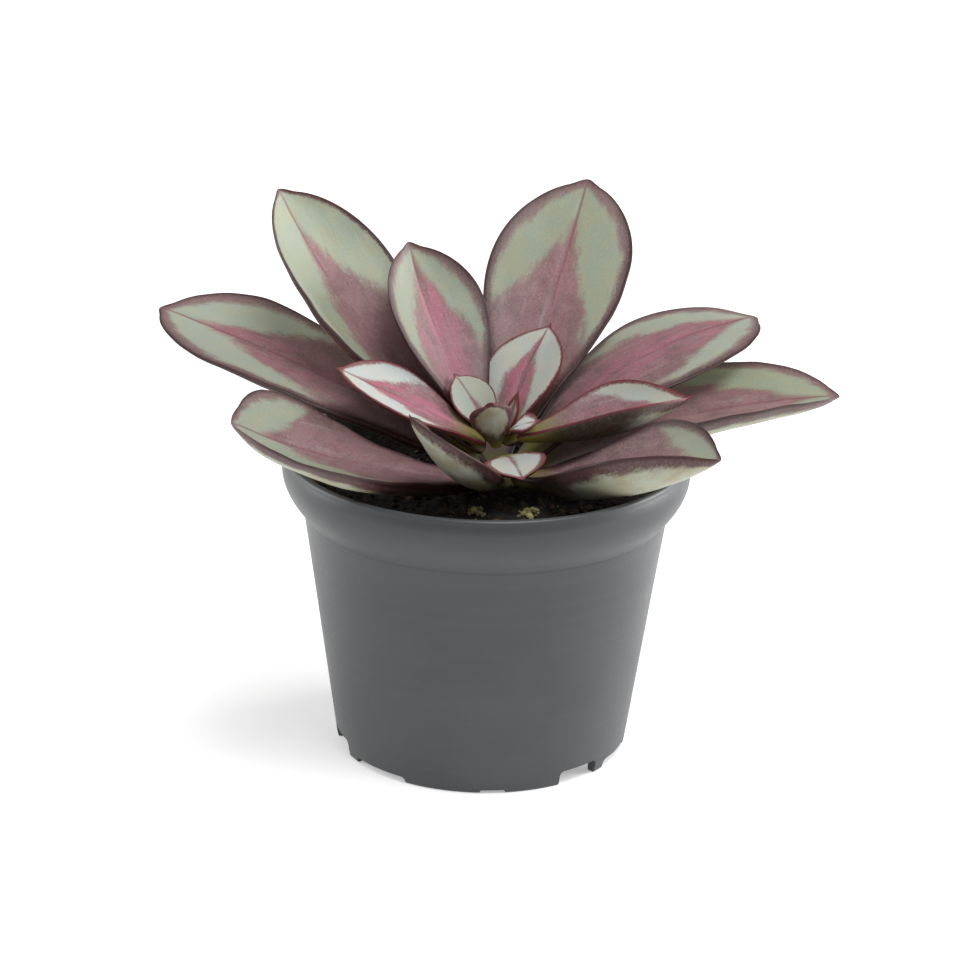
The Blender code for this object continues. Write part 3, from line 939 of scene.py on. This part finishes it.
def stem_profile():
    """The stem's section from its top down, ringed by the scars of shed leaves."""
    crown = rounded((0, STEM_TOP - STEM_TOP_RADIUS), STEM_TOP_RADIUS, 90, 15, 9)
    points = [(0, STEM_TOP)] + crown[1:]
    rows = 8 * STEM_SCARS
    for i in range(rows + 1):
        t = i / rows
        height = (STEM_TOP - STEM_TOP_RADIUS) * (1 - t) + STEM_BOTTOM * t
        taper = min(1, max(0, (height - STEM_SHOULDER) / (STEM_TOP - STEM_TOP_RADIUS - STEM_SHOULDER)))
        radius = STEM_RADIUS + (STEM_TOP_RADIUS - STEM_RADIUS) * taper
        scar = abs(sin(pi * t * STEM_SCARS)) ** 0.5
        points.append((radius - SCAR_DEPTH * (1 - scar), height))
    return points + [(0, STEM_BOTTOM)]


def stem_material(settings):
    material, tree, shader = new_material("corky_stem", 0.75)
    place = object_place(tree)
    fibres = noise_of(vector_math("MULTIPLY", place, (1.5, 1.5, 0.5)), 1.2, 5.0, 0.65)
    z = split(place)[2]
    young = (z + fibres * 6).step(STEM_SHOULDER / MM + 2, STEM_TOP / MM)
    bark = mix(fibres.step(0.35, 0.65), [c * 0.4 for c in settings.bark], settings.bark)
    feed(shader, "Base Color", mix(young, bark, settings.young))
    bump(shader, fibres, 0.6, 0.5 * MM)
    return material


# ---------- Settings ----------


def a_number(name, description, default, **options):
    options = {"name": name, "description": description, "default": default, "min": 0, **options}
    return bpy.props.FloatProperty(**options)


def a_length(name, description, default):
    return a_number(name, description, default, subtype="DISTANCE", unit="LENGTH")


def a_share(name, description, default):
    return a_number(name, description, default, max=1, subtype="FACTOR")


def a_colour(name, description, default):
    options = {"size": 3, "min": 0, "max": 1, "subtype": "COLOR", "default": default}
    return bpy.props.FloatVectorProperty(name=name, description=description, **options)


def a_group(group, name):
    return bpy.props.PointerProperty(type=group, name=name, description=group.__doc__)


class LeafSettings(bpy.types.PropertyGroup):
    """Colours and finish shared by all the leaves."""

    patch: a_colour("Patch", "Mint of the outer leaves' patches", (0.31, 0.335, 0.245))
    pale: a_colour("Pale patch", "Near white of the inner leaves' patches", (0.57, 0.58, 0.57))
    flame: a_colour("Flame", "Mauve of the flame along the midrib", (0.275, 0.145, 0.155))
    dusky: a_colour("Dusky flame", "Duller stretches of the flame", (0.200, 0.106, 0.108))
    pink: a_colour("Pink", "Vivid streaks in the flame", (0.44, 0.12, 0.185))
    band: a_colour("Margin", "Purple band inside the leaf's rim", (0.088, 0.030, 0.034))
    belly: a_colour("Belly", "Cream of the underside", (0.31, 0.29, 0.19))
    under: a_colour("Under band", "Dark band under the margins", (0.070, 0.026, 0.024))
    roughness: a_share("Roughness", "Roughness of the leaf's skin", 0.46)


class PotSettings(bpy.types.PropertyGroup):
    """The pot's finish."""

    colour: a_colour("Plastic", "Grey of the moulded plastic", (0.040, 0.043, 0.046))
    soiling: a_colour("Soiling", "Dried peat on the inner side", (0.014, 0.010, 0.007))
    roughness: a_share("Roughness", "Roughness of the plastic", 0.42)


class MixSettings(bpy.types.PropertyGroup):
    """The potting mix."""

    crumb_density: a_number("Crumbs", "Dark crumbs for each square metre", 170000)
    chip_density: a_number("Chips", "Bark chips for each square metre", 22000)
    pale_density: a_number("Pale grains", "Pale grains for each square metre", 5000)
    crumb_size: a_length("Crumb", "Radius of the largest crumb", 1.3 * MM)
    peat: a_colour("Peat", "Darkest colour of the mix", (0.010, 0.007, 0.005))
    bark: a_colour("Bark", "Brown of the bark chips", (0.13, 0.075, 0.035))
    pale: a_colour("Pale", "Moss and grit", (0.42, 0.38, 0.16))


class StemSettings(bpy.types.PropertyGroup):
    """The stem's colours."""

    bark: a_colour("Bark", "Corky lower stem", (0.14, 0.105, 0.05))
    young: a_colour("Young", "Green crown of the stem", (0.20, 0.21, 0.05))


class StageSettings(bpy.types.PropertyGroup):
    """Floor, light and camera."""

    floor: a_colour("Floor", "Pale floor", (0.9, 0.9, 0.9))
    sky: a_share("Surround", "Strength of the even light all round", 0.42)
    key: a_number("Key", "Power of the large light overhead", 8.5, unit="POWER")
    sides: a_number("Sides", "Power of the light at each side", 8.0, unit="POWER")
    lens: a_number("Lens", "Focal length of the camera in millimetres", 143.85)
    distance: a_length("Distance", "From the camera to the plant's middle", 1.0)
    elevation: a_number("Elevation", "How far the camera looks down", radians(20.4), subtype="ANGLE")
    roll: a_number("Roll", "Turn of the camera about its view", radians(1.2), subtype="ANGLE")


class SucculentSettings(bpy.types.PropertyGroup):
    """Settings of the potted succulent."""

    leaves: a_group(LeafSettings, "Leaves")
    pot: a_group(PotSettings, "Pot")
    mix: a_group(MixSettings, "Potting mix")
    stem: a_group(StemSettings, "Stem")
    stage: a_group(StageSettings, "Stage")


# ---------- Operators ----------


class SUCCULENT_OT_leaves(bpy.types.Operator):
    """Grow the leaves, from the outer ones to the heart"""

    bl_idname = "succulent.leaves"
    bl_label = "Leaves"

    def execute(self, context):
        settings = context.scene.succulent.leaves
        tree = leaf_tree()
        for i, leaf in enumerate(LEAVES):
            seed = SEED_STEP * i
            make_leaf(leaf, tree, leaf_material(leaf, settings, seed), seed)
        return {"FINISHED"}


class SUCCULENT_OT_pot(bpy.types.Operator):
    """Turn the pot and cut its drain holes and foot notches"""

    bl_idname = "succulent.pot"
    bl_label = "Pot"

    def execute(self, context):
        settings = context.scene.succulent.pot
        profile, inner = pot_profile()
        pot = turned("pot_shell", profile, POT_STEPS, inner)
        pot.data.materials.append(pot_material(settings))
        pot.data.materials.append(pot_inside_material(settings))
        cut(pot, drain_cutter())
        cut(pot, notch_cutter())
        pot.data.shade_smooth()
        pot.data.set_sharp_from_angle(angle=SHARP_ANGLE)
        hand_over(pot, "pot_plastic", "pot")
        return {"FINISHED"}


class SUCCULENT_OT_mix(bpy.types.Operator):
    """Fill the pot with potting mix and strew its surface with crumbs, bark and pale grains"""

    bl_idname = "succulent.mix"
    bl_label = "Potting mix"

    def execute(self, context):
        settings = context.scene.succulent.mix
        body = make_mix_body()
        peat = settings.peat
        light_peat = [c * 4 for c in peat]
        dark_bark = [c * 0.25 for c in settings.bark]
        dark_pale = [c * 0.4 for c in settings.pale]
        body.data.materials.append(grain_material("peat_surface", peat, [c * 3 for c in peat], 0.95))
        tree = scatter_tree()
        crumbs = grain_material("peat_crumbs", peat, light_peat, 0.95)
        chips = grain_material("bark_chips", dark_bark, settings.bark, 0.8)
        pale = grain_material("pale_grains", dark_pale, settings.pale, 0.8)
        size = settings.crumb_size
        rows = (
            ("mix_crumbs", crumbs, settings.crumb_density, 0.4 * MM, size, 0.75, 11),
            ("mix_bark_chips", chips, settings.chip_density, 0.6 * MM, 2.0 * size, 0.30, 23),
            ("mix_pale_grains", pale, settings.pale_density, 0.4 * MM, 1.1 * size, 0.70, 37),
        )
        for name, *row in rows:
            make_grains(name, body, tree, *row)
        for i, (x, y, radius) in enumerate(MOSS_CLUMPS):
            mound = clump_ground(f"moss_{i}", x, y, radius)
            make_grains(f"mix_moss_{i}", mound, tree, pale, MOSS_DENSITY, 0.35 * MM, size, 0.8, 5 + i)
            bpy.data.objects.remove(mound)
        hand_over(body, "potting_mix", "potting_mix")
        return {"FINISHED"}


class SUCCULENT_OT_stem(bpy.types.Operator):
    """Raise the corky stem that the leaves grow from"""

    bl_idname = "succulent.stem"
    bl_label = "Stem"

    def execute(self, context):
        stem = turned("stem_trunk", stem_profile(), STEM_SEGMENTS)
        displace(stem, lambda place: place.xy.to_3d() * 0.10 * noise.noise(place / (3 * MM)))
        stem.data.transform(Matrix.Translation(CROWN))
        stem.data.materials.append(stem_material(context.scene.succulent.stem))
        stem.data.shade_smooth()
        hand_over(stem, "stem_bark", "stem")
        return {"FINISHED"}


class SUCCULENT_OT_stage(bpy.types.Operator):
    """Lay the floor, hang the lights and set up the camera"""

    bl_idname = "succulent.stage"
    bl_label = "Stage"

    def execute(self, context):
        settings = context.scene.succulent.stage
        make_floor(settings)
        make_lights(context.scene, settings)
        make_camera(context.scene, settings)
        return {"FINISHED"}


class SUCCULENT_PT_panel(bpy.types.Panel):
    """Lists the settings and the operators"""

    bl_idname = "SUCCULENT_PT_panel"
    bl_label = "Potted Succulent"
    bl_space_type = "VIEW_3D"
    bl_region_type = "UI"
    bl_category = "Succulent"

    def draw(self, context):
        layout = self.layout
        settings = context.scene.succulent
        for part, operator in PIECES:
            box = layout.box()
            group = getattr(settings, part)
            for name in group.__annotations__:
                box.prop(group, name)
            box.operator(operator.bl_idname)


PIECES = (
    ("pot", SUCCULENT_OT_pot),
    ("mix", SUCCULENT_OT_mix),
    ("stem", SUCCULENT_OT_stem),
    ("leaves", SUCCULENT_OT_leaves),
    ("stage", SUCCULENT_OT_stage),
)


# ---------- Stage ----------

FLOOR_SIDE = 8.0
FLOOR_GLOW = 0.35
FLOOR_TONE = 0.97
LIGHT_SIDE = 0.6
KEY_PLACE = (0.25, -0.35, 1.15)
KEY_TARGET = (0, 0, 0.1)
SIDE_REACH = 0.95
SIDE_TARGET = (0, 0, 0.05)
SIDES = (("right_light", 1, 1.35), ("left_light", -1, 0.62))  # name, which side, share of the power
VIEW_CENTRE = Vector((-1.58 * MM, 0, 72.1 * MM))


def make_floor(settings):
    build = bmesh.new()
    bmesh.ops.create_grid(build, x_segments=1, y_segments=1, size=FLOOR_SIDE / 2)
    floor = from_bmesh("studio_floor", build)
    material, tree, shader = new_material("studio_floor", 0.9)
    tone = noise_of(object_place(tree), 0.004, 2.0)
    dimmer = [c * FLOOR_TONE for c in settings.floor]
    feed(shader, "Base Color", mix(tone, dimmer, settings.floor))
    shader.inputs["Emission Color"].default_value = (1, 1, 1, 1)
    shader.inputs["Emission Strength"].default_value = FLOOR_GLOW
    floor.data.materials.append(material)


def area_light(name, power, place, target):
    light = bpy.data.lights.new(name, "AREA")
    light.energy = power
    light.shape = "SQUARE"
    light.size = LIGHT_SIDE
    obj = new_object(name, light)
    obj.location = place
    obj.rotation_euler = (Vector(target) - Vector(place)).to_track_quat("-Z", "Y").to_euler()


def make_lights(scene, settings):
    world = bpy.data.worlds.new("even_surround")
    world.use_nodes = True
    background = world.node_tree.nodes["Background"]
    background.inputs["Color"].default_value = (1, 1, 1, 1)
    background.inputs["Strength"].default_value = settings.sky
    scene.world = world
    area_light("key_light", settings.key, KEY_PLACE, KEY_TARGET)
    for name, side, share in SIDES:
        area_light(name, settings.sides * share, (side * SIDE_REACH, 0.25, 0.35), SIDE_TARGET)
    scene.view_settings.view_transform = "Standard"


def make_camera(scene, settings):
    data = bpy.data.cameras.new("studio_camera")
    data.lens = settings.lens
    data.clip_start = 0.05
    camera = new_object("studio_camera", data)
    look, roll = settings.elevation, settings.roll
    back = Vector((0, -cos(look), sin(look)))
    level = Vector((1, 0, 0))
    rise = Vector((0, sin(look), cos(look)))
    right = level * cos(roll) + rise * sin(roll)
    up = rise * cos(roll) - level * sin(roll)
    turn = Matrix((right, up, back)).transposed()
    camera.rotation_euler = turn.to_euler()
    camera.location = VIEW_CENTRE + back * settings.distance
    scene.camera = camera


# ---------- Registration ----------

SETTINGS = (LeafSettings, PotSettings, MixSettings, StemSettings, StageSettings, SucculentSettings)
CLASSES = (*SETTINGS, *(operator for _, operator in PIECES), SUCCULENT_PT_panel)


def register():
    for cls in CLASSES:
        bpy.utils.register_class(cls)
    bpy.types.Scene.succulent = a_group(SucculentSettings, "Succulent")


def unregister():
    del bpy.types.Scene.succulent
    for cls in reversed(CLASSES):
        bpy.utils.unregister_class(cls)


def main():
    register()
    for _, operator in PIECES:
        group, name = operator.bl_idname.split(".")
        getattr(getattr(bpy.ops, group), name)()


if __name__ == "__main__":
    main()
